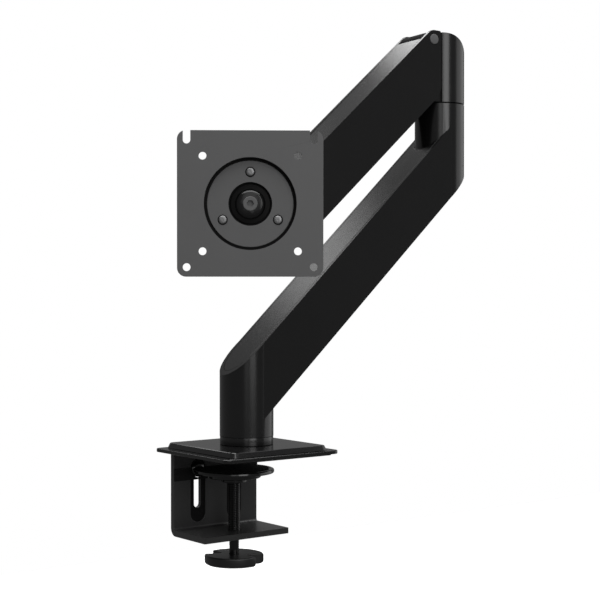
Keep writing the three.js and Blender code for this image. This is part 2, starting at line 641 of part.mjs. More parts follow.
function tiltWasher(x) {
  return cut(
    axleX(TILT_WASHER.radius, x, x + TILT_WASHER.thick, -TILT.forward, HEAD_Z, 24),
    axleX(TILT.bolt + GAP, x - 2, x + 2, -TILT.forward, HEAD_Z, 24),
  );
}

function tiltHead() {
  const { barrel, half, bolt, forward, neck, neckTo } = TILT;
  const { hub, front, flange, flangeFront, flangeBack, back } = TURNTABLE;
  const turntable = turnedY(
    [[0, -front], [hub, -front], [hub, -flangeFront], [flange, -flangeFront], [flange, -flangeBack], [0, -back]],
    HEAD_Z,
  );
  return cut(
    join(axleX(barrel, -half, half, -forward, HEAD_Z), axleY(neck, neckTo, -forward, 0, HEAD_Z), turntable),
    axleY(bolt + GAP, -front - 0.6, -CENTRE_BOLT.end + 0.5, 0, HEAD_Z, 24),
    axleX(bolt + GAP, -WIDE, WIDE, -forward, HEAD_Z, 20),
  );
}

function dishScrewPlaces() {
  return [90, 210, 330].map((turn) => [
    DISH_SCREW.pitch * Math.cos(deg(turn)),
    HEAD_Z + DISH_SCREW.pitch * Math.sin(deg(turn)),
  ]);
}

function vesaPlate() {
  const { size, corner, thick, hole, dish, floor, deep, middle } = VESA;
  const back = -FACE + thick;
  const blank = side(roundRect(size, size, corner, 0, HEAD_Z), -FACE, back, 5);
  const sink = -FACE + deep;
  const bowl = turnedY([[dish, -FACE], [floor, sink], [middle, sink], [middle, sink + thick],
    [floor + 1.5, sink + thick], [dish + 2, back], [dish + 2, -FACE]], HEAD_Z, 48);
  const corners = [[-1, 1], [1, 1], [-1, -1], [1, -1]];
  const { near, far, slot } = HOLES;
  const [y0, y1] = [-FACE - 10, -FACE + 10];
  const nearHoles = corners.map(([x, z]) => axleY(hole, y0, y1, near * x, HEAD_Z + near * z, 16));
  const farHoles = corners.slice(2).map(([x, z]) => axleY(hole, y0, y1, far * x, HEAD_Z + far * z, 16));
  const slots = [-far, far].map((x) => side(slotShape(slot, HEAD_Z + far, HEAD_Z + far + 20, x), y0, y1));
  const dimples = dishScrewPlaces().map(([x, z]) => axleY(DISH_SCREW.dimple, sink - 2, sink + 0.5, x, z, 18));
  const screws = dishScrewPlaces().map(([x, z]) => axleY(DISH_SCREW.hole, y0, y1, x, z, 12));
  return cut(
    join(cut(blank, axleY(dish + 1, y0, y1, 0, HEAD_Z, 48)), bowl),
    ...nearHoles,
    ...farHoles,
    ...slots,
    ...dimples,
    ...screws,
  );
}

function dishScrew([x, z]) {
  const seat = -FACE + VESA.deep + 0.5;
  const { head: radius, shank, long, hex } = DISH_SCREW;
  const headDisc = axleY(radius, seat - 1.4, seat - GAP, x, z, 24);
  const body = axleY(shank, seat - 0.5, seat + long, x, z, 12);
  return cut(join(headDisc, body), axleY(hex, seat - 3, seat - 0.8, x, z, 6));
}

function rotor() {
  const { inner, outer, back, front, lip, lipBack } = ROTOR;
  const disc = [[inner, -back], [outer, -back], [outer, -front]];
  const profile = [...disc, [lip, -front], [lip, -lipBack], [inner, -lipBack]];
  const screws = dishScrewPlaces().map(([x, z]) => axleY(DISH_SCREW.hole, -80, -50, x, z, 12));
  return cut(turnedY(profile, HEAD_Z, 44), ...screws);
}

// A ring square to the swivel's forward line, between two distances in front of the swivel axis.
function faceRing({ outer, inner, back, front, frontOuter = outer }) {
  return turnedY([[inner, -back], [outer, -back], [frontOuter, -front], [inner, -front]], HEAD_Z, 28);
}

function centreBolt() {
  const { head: radius, front, seat, end, hex, hexBack } = CENTRE_BOLT;
  const headDisc = axleY(radius, -front, -seat, 0, HEAD_Z, 24);
  const shank = axleY(TILT.bolt, -seat - 0.5, -end, 0, HEAD_Z, 24);
  return cut(join(headDisc, shank), axleY(hex, -front - 1, -hexBack, 0, HEAD_Z, 6));
}

// Assembly -----------------------------------------------------------------------------------------

add(object, "desk_pad", deskPad(), "rubber");
add(object, "base_plate", basePlate(), "black");
add(object, "base_cover", baseCover(), "plastic");
add(object, "pole_spindle", poleSpindle(), "steel");
add(object, "spindle_bolt", spindleBolt(), "darkSteel");
add(object, "pole_ring", poleRing(), "plastic");
add(object, "clamp_bracket", clampBracket(), "plate");
add(object, "slot_screw_left", slotScrew(-SLOT.x), "darkSteel");
add(object, "slot_screw_right", slotScrew(SLOT.x), "darkSteel");
add(object, "edge_strip", edgeStrip(), "rubber");
add(object, "pressure_disc", pressureDisc(), "black");
add(object, "disc_pad", discPad(), "rubber");
add(object, "clamp_screw", clampScrew(), "black");
add(object, "clamp_knob", clampKnob(), "plastic");

add(arms, "lower_arm", lowerArm(), "black");
add(arms, "lower_cover", lowerCover(), "plastic");
add(arms, "pole_bush_low", bush(POLE.bore - GAP, SPINDLE.radius + GAP, ...BUSHES.low), "nylon");
add(arms, "pole_bush_high", bush(POLE.bore - GAP, SPINDLE.radius + GAP, ...BUSHES.high), "nylon");
add(arms, "elbow_bush", elbowBush(), "nylon");
add(arms, "elbow_plug", post(COLUMN.below - GAP, ELBOW_PLUG.low, ELBOW_PLUG.high, REACH), "plastic");

add(arms, "elbow_washer", elbowWasher(), "nylon");
add(arms, "elbow_bracket", elbowBracket(), "black");
add(arms, "elbow_spindle", elbowSpindle(), "steel");
add(arms, "elbow_disc", elbowDisc(), "darkSteel");
add(arms, "elbow_nut", elbowNut(), "darkSteel");
add(arms, "lift_pin", axleY(PIN, -HALF - GAP, HALF + GAP, LIFT.x, LIFT.z, 24), "darkSteel");
add(arms, "link_pin", linkPin(LIFT), "steel");
add(arms, "spring_anchor_pin", anchorPin(), "steel");

add(upper, "upper_arm", upperArm(), "black");
add(upper, "upper_cover", upperCover(), "plastic");
add(upper, "end_cap", endCap(), "plastic");
add(upper, "spring_cylinder", springCylinder(), "black");
add(upper, "spring_pin", springPin(), "steel");
add(upper, "spring_rod", springRod(), "steel");
add(upper, "rod_end", rodEnd(), "darkSteel");

add(arms, "parallel_link", parallelLink(), "darkSteel");
add(arms, "head_bracket", headBracket(), "black");
add(arms, "head_pin", axleY(PIN, -HALF - GAP, HALF + GAP, tip.x, tip.z, 24), "darkSteel");
add(arms, "head_link_pin", linkPin(tip), "steel");

add(head, "swivel_washer", bush(SWIVEL_WASHER, SWIVEL_PIN + GAP, FOOT.high + GAP, KNUCKLE.low - GAP), "nylon");
add(head, "swivel_bolt", swivelBolt(), "darkSteel");
add(head, "head_knuckle", headKnuckle(), "black");
add(head, "swivel_top_washer", bush(TOP_WASHER, SWIVEL_PIN + GAP, KNUCKLE.high + GAP, KNUCKLE.high + 1.5), "steel");
add(head, "tilt_bolt", tiltBolt(), "darkSteel");
add(head, "tilt_nut", tiltNut(), "darkSteel");
add(head, "tilt_washer_left", tiltWasher(-KNUCKLE.half - 1.2), "steel");
add(head, "tilt_washer_right", tiltWasher(KNUCKLE.half + GAP), "steel");
add(head, "tilt_head", tiltHead(), "black");
add(head, "friction_washer", faceRing(FRICTION_WASHER), "nylon");
add(head, "retaining_washer", faceRing(RETAINING_WASHER), "darkSteel");
add(head, "cone_washer", faceRing(CONE_WASHER), "darkSteel");
add(head, "centre_bolt", centreBolt(), "darkSteel");
add(head, "rotor", rotor(), "black");
add(head, "vesa_plate", vesaPlate(), "plate");
["top", "left", "right"].forEach((place, i) => {
  add(head, "dish_screw_" + place, dishScrew(dishScrewPlaces()[i]), "steel");
});

export default object;
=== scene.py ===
import json
import math

import bmesh
import bpy
from mathutils import Matrix, Vector


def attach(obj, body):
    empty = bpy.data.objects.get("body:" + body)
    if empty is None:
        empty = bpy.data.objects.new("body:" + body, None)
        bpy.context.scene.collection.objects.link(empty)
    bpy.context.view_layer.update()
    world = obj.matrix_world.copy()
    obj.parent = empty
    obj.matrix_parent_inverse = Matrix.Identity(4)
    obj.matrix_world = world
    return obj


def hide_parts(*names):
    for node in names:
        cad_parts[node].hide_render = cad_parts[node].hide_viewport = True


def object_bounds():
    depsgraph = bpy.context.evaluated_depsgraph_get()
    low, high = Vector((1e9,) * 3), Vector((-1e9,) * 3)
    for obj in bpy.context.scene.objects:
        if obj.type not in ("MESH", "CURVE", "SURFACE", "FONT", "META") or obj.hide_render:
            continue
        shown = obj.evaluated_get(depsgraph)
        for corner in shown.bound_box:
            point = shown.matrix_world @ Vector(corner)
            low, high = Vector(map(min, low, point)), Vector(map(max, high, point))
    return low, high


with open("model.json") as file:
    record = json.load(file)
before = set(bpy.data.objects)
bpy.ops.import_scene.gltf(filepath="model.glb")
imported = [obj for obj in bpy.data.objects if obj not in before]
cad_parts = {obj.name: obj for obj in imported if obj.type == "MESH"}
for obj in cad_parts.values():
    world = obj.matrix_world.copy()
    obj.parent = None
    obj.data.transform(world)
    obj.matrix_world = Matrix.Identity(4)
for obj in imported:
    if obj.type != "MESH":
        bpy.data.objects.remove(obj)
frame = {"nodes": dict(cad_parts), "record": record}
cad_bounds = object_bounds()
MM = 0.001
SIDES = 96  # around a round piece
scene = bpy.context.scene

# Camera and light ---------------------------------------------------------------------------------

camera = bpy.data.objects.new("camera", bpy.data.cameras.new("camera"))
camera.location = (-0.6783, -0.9540, 0.1414)
camera.rotation_euler = (math.radians(90 - 0.62), 0, math.radians(-37.6))
camera.data.lens = 84
camera.data.sensor_width = 36
camera.data.clip_start = 0.01
scene.collection.objects.link(camera)
scene.camera = camera

world = bpy.data.worlds.new("world")
world.use_nodes = True
sky = world.node_tree
for node in list(sky.nodes):
    sky.nodes.remove(node)
seen, lit = sky.nodes.new("ShaderNodeBackground"), sky.nodes.new("ShaderNodeBackground")
seen.inputs["Color"].default_value = (1, 1, 1, 1)
lit.inputs["Color"].default_value = (1, 1, 1, 1)
lit.inputs["Strength"].default_value = 0.18
ray, mixed, out = (sky.nodes.new("ShaderNode" + kind) for kind in ("LightPath", "MixShader", "OutputWorld"))
sky.links.new(ray.outputs["Is Camera Ray"], mixed.inputs[0])
sky.links.new(lit.outputs[0], mixed.inputs[1])
sky.links.new(seen.outputs[0], mixed.inputs[2])
sky.links.new(mixed.outputs[0], out.inputs[0])
scene.world = world
scene.view_settings.view_transform = "Standard"


def area_light(name, place, target, size, power):
    data = bpy.data.lights.new(name, "AREA")
    data.shape = "RECTANGLE"
    data.size, data.size_y = size
    data.energy = power
    light = bpy.data.objects.new(name, data)
    light.location = place
    light.rotation_euler = (Vector(target) - Vector(place)).to_track_quat("-Z", "Y").to_euler()
    scene.collection.objects.link(light)


area_light("front", (-0.45, -3.06, 1.15), (0.1, 0, 0.25), (1.5, 2.4), 36)
area_light("back_top", (1.12, 2.0, 1.93), (0.1, 0, 0.35), (0.4, 0.4), 2.6)
area_light("back_low", (0.42, 2.3, 1.58), (0.05, 0, 0.15), (0.35, 0.3), 0.7)
area_light("right", (2.75, -0.87, 0.6), (0.1, 0, 0.2), (3.0, 2.2), 18)
area_light("fill", (-1.78, -2.54, 1.1), (0.1, 0, 0.25), (0.9, 2.4), 7)
area_light("over", (0, 0, 3.2), (0, 0, 0), (5, 5), 330)

# Materials ----------------------------------------------------------------------------------------


def material(name, colour, roughness, metallic=0.0, grain=1400.0, depth=0.05, spread=0.05, specular=0.5):
    """A procedural finish: colour and roughness vary a little, and a fine grain stands out of the surface."""
    mat = bpy.data.materials.new(name)
    mat.use_nodes = True
    tree = mat.node_tree
    shader = tree.nodes["Principled BSDF"]
    shader.inputs["Metallic"].default_value = metallic
    shader.inputs["Specular IOR Level"].default_value = specular
    place = tree.nodes.new("ShaderNodeTexCoord")
    wide = tree.nodes.new("ShaderNodeTexNoise")
    wide.inputs["Scale"].default_value = 35
    wide.inputs["Detail"].default_value = 4
    fine = tree.nodes.new("ShaderNodeTexNoise")
    fine.inputs["Scale"].default_value = grain
    fine.inputs["Detail"].default_value = 2
    shade = tree.nodes.new("ShaderNodeMix")
    shade.data_type = "RGBA"
    shade.inputs["A"].default_value = (*[c * (1 - spread) for c in colour], 1)
    shade.inputs["B"].default_value = (*[c * (1 + spread) for c in colour], 1)
    rough = tree.nodes.new("ShaderNodeMapRange")
    rough.inputs["To Min"].default_value = roughness * 0.92
    rough.inputs["To Max"].default_value = roughness * 1.08
    bump = tree.nodes.new("ShaderNodeBump")
    bump.inputs["Strength"].default_value = depth
    bump.inputs["Distance"].default_value = 0.0002
    link = tree.links.new
    link(place.outputs["Object"], wide.inputs["Vector"])
    link(place.outputs["Object"], fine.inputs["Vector"])
    link(wide.outputs["Fac"], shade.inputs["Factor"])
    link(wide.outputs["Fac"], rough.inputs["Value"])
    link(fine.outputs["Fac"], bump.inputs["Height"])
    link(shade.outputs["Result"], shader.inputs["Base Color"])
    link(rough.outputs["Result"], shader.inputs["Roughness"])
    link(bump.outputs["Normal"], shader.inputs["Normal"])
    return mat


LOOKS = {
    "arm": material("arm_powder_coat", (0.004, 0.004, 0.0041), 0.22, grain=2200, depth=0.03, specular=0.5),
    "cover": material("cover_moulding", (0.005, 0.005, 0.0051), 0.22, grain=2600, depth=0.03, specular=0.5),
    "plate": material("plate_powder_coat", (0.08, 0.08, 0.0807), 0.5, grain=2000, depth=0.12, specular=0.4),
    "clamp": material("clamp_powder_coat", (0.02, 0.02, 0.0202), 0.3, grain=1800, depth=0.05, specular=0.5),
    "base": material("base_moulding", (0.004, 0.004, 0.0041), 0.16, grain=1500, depth=0.03, specular=0.5),
    "knob": material("knob_moulding", (0.006, 0.006, 0.0061), 0.35, grain=2600, depth=0.12, specular=0.5),
    "rubber": material("rubber", (0.006, 0.006, 0.006), 0.8, grain=3000, depth=0.3, specular=0.2),
    "dark_steel": material("black_oxide", (0.05, 0.05, 0.051), 0.32, metallic=0.9, grain=900, depth=0.04),
    "steel": material("zinc_plate", (0.45, 0.45, 0.46), 0.3, metallic=1.0, grain=900, depth=0.04),
    "pan": material("passivated_steel", (0.2, 0.2, 0.202), 0.42, metallic=1.0, grain=900, depth=0.04),
    "nylon": material("nylon", (0.7, 0.69, 0.64), 0.5, grain=1200, depth=0.05),
    "screw": material("black_screw", (0.003, 0.003, 0.0031), 0.16, grain=900, depth=0.02, specular=0.4),
    # Painted shade: a near-black, barely glossy look laid on the faces of slots, grooves, dimples and the central
    # hole so they read as shaded hollows; the part has no such coating.
    "pocket": material("pocket_primer", (0.002, 0.002, 0.002), 0.5, grain=1500, depth=0.05, specular=0.1),
}
SLOT_LOOKS = {
    "cast_black": "arm", "plate_black": "clamp", "cover_black": "cover", "rubber_black": "rubber",
    "steel_dark": "dark_steel", "steel_bright": "steel", "nylon_white": "nylon",
}
slot_of = {sub["node"]: sub["material_slot"] for sub in frame["record"]["subparts"]}
body_of = {n: body for body, names in frame["record"]["behaviour"]["bodies"].items() for n in names}
for name, node in frame["nodes"].items():
    node.data.materials.clear()
    node.data.materials.append(LOOKS[SLOT_LOOKS[slot_of[name]]])

# Solids, in millimetres ---------------------------------------------------------------------------


def from_bmesh(bm):
    mesh = bpy.data.meshes.new("solid")
    bmesh.ops.recalc_face_normals(bm, faces=bm.faces)
    bm.to_mesh(mesh)
    bm.free()
    return bpy.data.objects.new("solid", mesh)


def prism(points, low, high, plane="xy"):
    """An outline made solid between two values of the third axis."""
    place = {
        "xy": lambda a, b, c: (a, b, c),
        "xz": lambda a, b, c: (a, c, b),
        "yz": lambda a, b, c: (c, a, b),
    }[plane]
    bm = bmesh.new()
    rings = [[bm.verts.new(place(a, b, c)) for a, b in points] for c in (low, high)]
    bm.faces.new(rings[0])
    bm.faces.new(rings[1])
    for i in range(len(points)):
        j = (i + 1) % len(points)
        bm.faces.new((rings[0][i], rings[0][j], rings[1][j], rings[1][i]))
    return from_bmesh(bm)


def lathe(profile, axis="z", at=(0, 0, 0), sides=SIDES):
    """A round solid from (radius, height) points that start and end on the axis or close on themselves."""
    turn = {"z": Matrix(), "y": Matrix.Rotation(math.radians(-90), 4, "X"),
        "x": Matrix.Rotation(math.radians(90), 4, "Y")}
    bm = bmesh.new()
    rings = []
    for r, h in profile:
        if r < 1e-9:
            rings.append([bm.verts.new((0, 0, h))] * sides)
        else:
            steps = [2 * math.pi * i / sides for i in range(sides)]
            rings.append([bm.verts.new((r * math.cos(t), r * math.sin(t), h)) for t in steps])
    closed = profile[0][0] > 1e-9
    pairs = list(zip(rings, rings[1:])) + ([(rings[-1], rings[0])] if closed else [])
    for a, b in pairs:
        for i in range(sides):
            j = (i + 1) % sides
            corners = list(dict.fromkeys((a[i], a[j], b[j], b[i])))
            if len(corners) > 2:
                bm.faces.new(corners)
    bmesh.ops.transform(bm, matrix=Matrix.Translation(at) @ turn[axis], verts=bm.verts)
    return from_bmesh(bm)


def rod(radius, low, high, axis="z", at=(0, 0), sides=SIDES, soft=0.0):
    """A cylinder between two heights, with softened rims."""
    profile = [(0, low)] + round_profile(radius, low, high, soft) + [(0, high)]
    where = {"z": (at[0], at[1], 0), "y": (at[0], 0, at[1]), "x": (0, at[0], at[1])}[axis]
    return lathe(profile, axis, where, sides)


def round_profile(radius, low, high, soft):
    if not soft:
        return [(radius, low), (radius, high)]
    steps = [math.radians(90 * i / 4) for i in range(5)]
    lower = [(radius - soft + soft * math.sin(t), low + soft - soft * math.cos(t)) for t in steps]
    upper = [(radius - soft + soft * math.cos(t), high - soft + soft * math.sin(t)) for t in steps]
    return lower + upper


def ring(outer, inner, low, high, axis="z", at=(0, 0), sides=SIDES, soft=0.0):
    where = {"z": (at[0], at[1], 0), "y": (at[0], 0, at[1]), "x": (0, at[0], at[1])}[axis]
    return lathe([(inner, low)] + round_profile(outer, low, high, soft) + [(inner, high)], axis, where, sides)


def box(x0, x1, y0, y1, z0, z1):
    return prism([(x0, y0), (x1, y0), (x1, y1), (x0, y1)], z0, z1)


def arc(cx, cy, radius, start, end, count=16):
    steps = [math.radians(start + (end - start) * i / count) for i in range(count + 1)]
    return [(cx + radius * math.cos(t), cy + radius * math.sin(t)) for t in steps]


def round_rect(width, height, radius, cx=0.0, cy=0.0, count=10):
    x, y = width / 2 - radius, height / 2 - radius
    corners = [(x, y, 0), (-x, y, 90), (-x, -y, 180), (x, -y, 270)]
    return [p for a, b, t in corners for p in arc(cx + a, cy + b, radius, t, t + 90, count)]


def slot_outline(width, low, high, across):
    r = width / 2
    return arc(across, high - r, r, 0, 180, 20) + arc(across, low + r, r, 180, 360, 20)


def combine(operation, body, *tools):
    """The body joined with, cut by or cut down to each tool in turn. The tools are used up."""
    for tool in tools:
        for thing in (body, tool):
            if thing.name not in scene.collection.objects:
                scene.collection.objects.link(thing)
        step = body.modifiers.new("step", "BOOLEAN")
        step.operation = operation
        step.solver = "EXACT"
        step.object = tool
        bpy.context.view_layer.update()
        done = body.evaluated_get(bpy.context.evaluated_depsgraph_get())
        mesh = bpy.data.meshes.new_from_object(done)
        body.modifiers.clear()
        body.data = mesh
        bpy.data.objects.remove(tool)
    return body


def join(body, *tools):
    return combine("UNION", body, *tools)


def cut(body, *tools):
    return combine("DIFFERENCE", body, *tools)


def keep(body, *tools):
    return combine("INTERSECT", body, *tools)


def moved(thing, matrix):
    thing.data.transform(matrix)
    return thing


# The frames that the pieces are drawn in.
ARM_TURN = -7.26
ARM = Matrix.Rotation(math.radians(ARM_TURN), 4, "Z")
LIFT = Vector((176.5, 0, 358.7))
SLOPE = 43.2
UPPER = ARM @ Matrix.Translation(LIFT) @ Matrix.Rotation(math.radians(-SLOPE), 4, "Y")
HEAD = ARM @ Matrix.Translation((3.7, 0, 0)) @ Matrix.Rotation(math.radians(-28.39), 4, "Z")
BASE = Matrix()
HEAD_Z = 205.3


def finish(thing, name, node, look, place=BASE, bevel=0.5, segments=3, angle=32, dark=None):
    """Rounds the solid's edges, puts it where it belongs and lets it stand for its CAD node."""
    if thing.name not in scene.collection.objects:
        scene.collection.objects.link(thing)
    bm = bmesh.new()
    bm.from_mesh(thing.data)
    bmesh.ops.remove_doubles(bm, verts=bm.verts, dist=1e-3)
    bmesh.ops.dissolve_limit(bm, angle_limit=math.radians(0.4), verts=bm.verts, edges=bm.edges)
    bm.to_mesh(thing.data)
    bm.free()
    if bevel:
        soft = thing.modifiers.new("bevel", "BEVEL")
        soft.width = bevel
        soft.segments = segments
        soft.limit_method = "ANGLE"
        soft.angle_limit = math.radians(angle)
        soft.use_clamp_overlap = True
        soft.harden_normals = False
        bpy.context.view_layer.update()
        mesh = bpy.data.meshes.new_from_object(thing.evaluated_get(bpy.context.evaluated_depsgraph_get()))
        thing.modifiers.clear()
        thing.data = mesh
    corners = thing.data.vertices
    shaded = [dark is not None and all(dark(corners[i].co) for i in face.vertices) for face in thing.data.polygons]
    thing.data.transform(Matrix.Scale(MM, 4) @ place)
    for face in thing.data.polygons:
        face.use_smooth = True
    thing.data.set_sharp_from_angle(angle=math.radians(30))
    if bevel:
        even = thing.modifiers.new("normals", "WEIGHTED_NORMAL")
        even.keep_sharp = True
        bpy.context.view_layer.update()
        mesh = bpy.data.meshes.new_from_object(thing.evaluated_get(bpy.context.evaluated_depsgraph_get()))
        thing.modifiers.clear()
        thing.data = mesh
    thing.name = name
    thing.data.name = name
    thing.data.materials.clear()
    thing.data.materials.append(LOOKS[look])
    # Faces picked by the mask get the painted shade look, a near-black stand-in for the shade deep in recesses.
    if dark:
        thing.data.materials.append(LOOKS["pocket"])
        for face, is_dark in zip(thing.data.polygons, shaded):
            face.material_index = int(is_dark)
    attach(thing, body_of[node])
    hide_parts(node)
    return thing


# Base ---------------------------------------------------------------------------------------------


def base_plate():
    flat = prism(round_rect(115, 107.2, 6), 1.1, 4.1)
    flange = box(-36, 36, 50.6, 53.6, -23, 1.6)
    holes = [rod(3.1, 45, 58, "y", (x, -16), 40) for x in (-18.7, 18.7)]
    finish(cut(join(flat, flange), *holes), "base_plate_steel", "base_plate", "base", bevel=0.7)


def base_cover():
    outer = []
    for z, grow in ((4.4, 1.9), (7.6, 0.3), (8.1, 0.05), (8.4, -0.45)):
        outer.append((z, round_rect(93.8 + 2 * grow, 98 + 2 * grow, 5.5 + grow)))
    bm = bmesh.new()
    rings = [[bm.verts.new((x, y, z)) for x, y in plan] for z, plan in outer]
    for a, b in zip(rings, rings[1:]):
        for i in range(len(a)):
            j = (i + 1) % len(a)
            bm.faces.new((a[i], a[j], b[j], b[i]))
    bm.faces.new(rings[0])
    bm.faces.new(rings[-1])
    shell = cut(from_bmesh(bm), prism(round_rect(90, 94, 4), 3, 6.6), rod(13, 0, 20))
    finish(shell, "base_cover_moulded", "base_cover", "base", bevel=0)


def pole_ring():
    finish(ring(22.3, 11.3, 8.7, 15.3, soft=0.15), "pole_collar", "pole_ring", "arm", bevel=0)


# Clamp --------------------------------------------------------------------------------------------


def clamp_bracket():
    outline = [(-1.3, -71)] + arc(43.3, -64, 7, -90, 0, 10) + [(50.3, 0.8), (45.3, 0.8)]
    outline += arc(43.3, -64, 2, 0, -90, 6) + [(-1.3, -66)]
    strip = prism(outline, -43, 43, "yz")
    tools = []
    for x in (-18.7, 18.7):
        tools.append(prism(slot_outline(7, -49, -11, x), 40, 55, "xz"))
        tools.append(prism(slot_outline(15, -61, -7, x), 40, 46.1, "xz"))
    body = cut(strip, *tools, rod(5.4, -80, -60, "z", (0, 18.3), 48))
    # Painted shade: the floor and walls of the stepped slot pockets are given the near-black look.
    in_pocket = lambda c: 45.9 < c.y < 50 and -62 < c.z < -6 and abs(abs(c.x) - 18.7) < 7.7
    finish(body, "clamp_bracket_steel", "clamp_bracket", "clamp", bevel=0.3, segments=2, dark=in_pocket)


def slot_screws():
    for x, node in ((-18.7, "slot_screw_left"), (18.7, "slot_screw_right")):
        head = lathe([(0, 45.8), (6.5, 45.8), (6.45, 45.2), (5.6, 44.4), (4.2, 44.05), (0, 44)], "y",
            (x, 0, -16), 64)
        body = cut(join(head, rod(2.8, 45, 55.6, "y", (x, -16), 32)), rod(2, 41, 44.8, "y", (x, -16), 6))
        finish(body, node + "_button", node, "screw", bevel=0)


def edge_strip():
    heads = [rod(6.8, 40, 50, "y", (x, -16), 64) for x in (-18.7, 18.7)]
    finish(cut(box(-43, 43, 44.2, 45, -24.5, -14), *heads), "edge_strip_rubber", "edge_strip", "rubber",
        bevel=0.25)


def pressure_disc():
    y = 18.3
    profile = [(0, -15.2), (29.2, -15.2), (30.6, -14.5), (31.4, -14.05), (32.6, -14), (33.6, -14.35),
        (34, -15.1)]
    profile += [(34, -16.4), (33.5, -17.2), (32.4, -17.5), (24, -17.5), (23.1, -17.9), (22.6, -21),
        (21.9, -21.5)]
    profile += [(11.6, -21.5), (11, -21.9), (11, -24.6), (10.6, -25), (0, -25)]
    body = lathe(profile[::-1], "z", (0, y, 0), 128)
    body = cut(body, box(-60, 60, 43.4, 90, -60, 0), rod(5.4, -30, -17.2, "z", (0, y), 48))
    finish(body, "pressure_disc_pressed", "pressure_disc", "base", bevel=0.2, segments=2, angle=50)
    pad = cut(ring(29.4, 2, -14.9, -14, at=(0, y), soft=0.3), box(-60, 60, 41.9, 90, -60, 0))
    finish(pad, "disc_pad_rubber", "disc_pad", "rubber", bevel=0)


def thread(radius, depth, low, high, pitch, at=(0, 0)):
    """A screwed rod: one continuous V thread between two plain ends."""
    sides, rows = 40, 10
    count = int((high - low) / pitch * rows)
    bm = bmesh.new()
    rings = []
    for k in range(count + 1):
        z = low + (high - low) * k / count
        loop = []
        for i in range(sides):
            t = 2 * math.pi * i / sides
            phase = ((z / pitch) - t / (2 * math.pi)) % 1
            cut_in = depth * min(1, max(0, 1 - abs(phase - 0.5) * 3.0))
            ease = min(1, (z - low) / pitch, (high - z) / pitch)
            r = radius - cut_in * max(0, ease)
            loop.append(bm.verts.new((at[0] + r * math.cos(t), at[1] + r * math.sin(t), z)))
        rings.append(loop)
    for a, b in zip(rings, rings[1:]):
        for i in range(sides):
            j = (i + 1) % sides
            bm.faces.new((a[i], a[j], b[j], b[i]))
    bm.faces.new(rings[0])
    bm.faces.new(rings[-1])
    return from_bmesh(bm)


def clamp_screw():
    body = thread(5.1, 0.45, -74, -17.4, 1.5, at=(0, 18.3))
    neck = rod(4.1, -93, -74, "z", (0, 18.3), 48)
    for thing in (body, neck):
        scene.collection.objects.link(thing)
    bm = bmesh.new()
    bm.from_mesh(body.data)
    bm.from_mesh(neck.data)
    both = from_bmesh(bm)
    for thing in (body, neck):
        bpy.data.objects.remove(thing)
    finish(both, "clamp_screw_threaded", "clamp_screw", "screw", bevel=0)


def clamp_knob():
    y = 18.3
    profile = [(0, -86.3), (23.6, -86.3), (24.6, -86.6), (25, -87.4), (25, -92.2), (24.4, -93.6),
        (22.6, -94.6), (20, -95), (0, -95)]
    body = lathe(profile[::-1], "z", (0, y, 0), 128)
    tools = []
    for turn in (-57.7, 122.3):
        shape = [(12, -1.5), (14, -3), (20, -7), (30, -11.5), (30, 11.5), (20, 7), (14, 3), (12, 1.5)]
        tool = prism(shape, -100, -80)
        tools.append(moved(tool, Matrix.Translation((0, y, 0)) @ Matrix.Rotation(math.radians(turn), 4, "Z")))
    body = cut(body, *tools, rod(4.4, -94, -80, "z", (0, y), 48))
    finish(body, "clamp_knob_moulded", "clamp_knob", "knob", bevel=0.6, angle=40)


# Lower arm ----------------------------------------------------------------------------------------

LOW_SLOPE = math.tan(math.radians(44.8))
REACH = 198.0


def low_top(x):
    return 89.1 + LOW_SLOPE * x


def under_top(drop):
    return prism([(-400, -400), (400, -400), (400, low_top(400) - drop), (-400, low_top(-400) - drop)],
        -60, 60, "xz")


def cover_plan(inset, low, high):
    half = 19 - inset
    shape = arc(0, 0, half, 90, 270, 48) + [(REACH, -half), (REACH, half)]
    hollow = 22.25 + 0.3 + inset
    return cut(prism(shape, low, high), rod(hollow, low - 1, high + 1, "z", (REACH, 0)))


def lower_arm():
    deep = 63.4
    corners = [(0, low_top(0) - deep), (REACH, low_top(REACH) - deep), (REACH, low_top(REACH)),
        (0, low_top(0))]
    beam = prism(corners, -22, 22, "xz")
    pole = keep(rod(22.5, 15.6, low_top(22.5), sides=128), under_top(0))
    column = cut(rod(22.25, 180, 303.2, "z", (REACH, 0), 128), under_top(deep))
    recess = cut(cover_plan(0, 0, 400), under_top(5.9))
    body = join(beam, pole, column)
    body = cut(body, recess, rod(15, 10, 62), rod(14, 268, 310, "z", (REACH, 0)),
               rod(8.3, 200, 300, "z", (REACH, 0), 48), rod(15, 150, 262, "z", (REACH, 0)))
    finish(body, "lower_arm_casting", "lower_arm", "arm", ARM, bevel=0.45, angle=28)


def lower_cover():
    body = keep(cut(cover_plan(0.3, 0, 400), under_top(5.6)), under_top(0))
    finish(body, "lower_cover_strip", "lower_cover", "cover", ARM, bevel=0.35, angle=28)


# Elbow --------------------------------------------------------------------------------------------


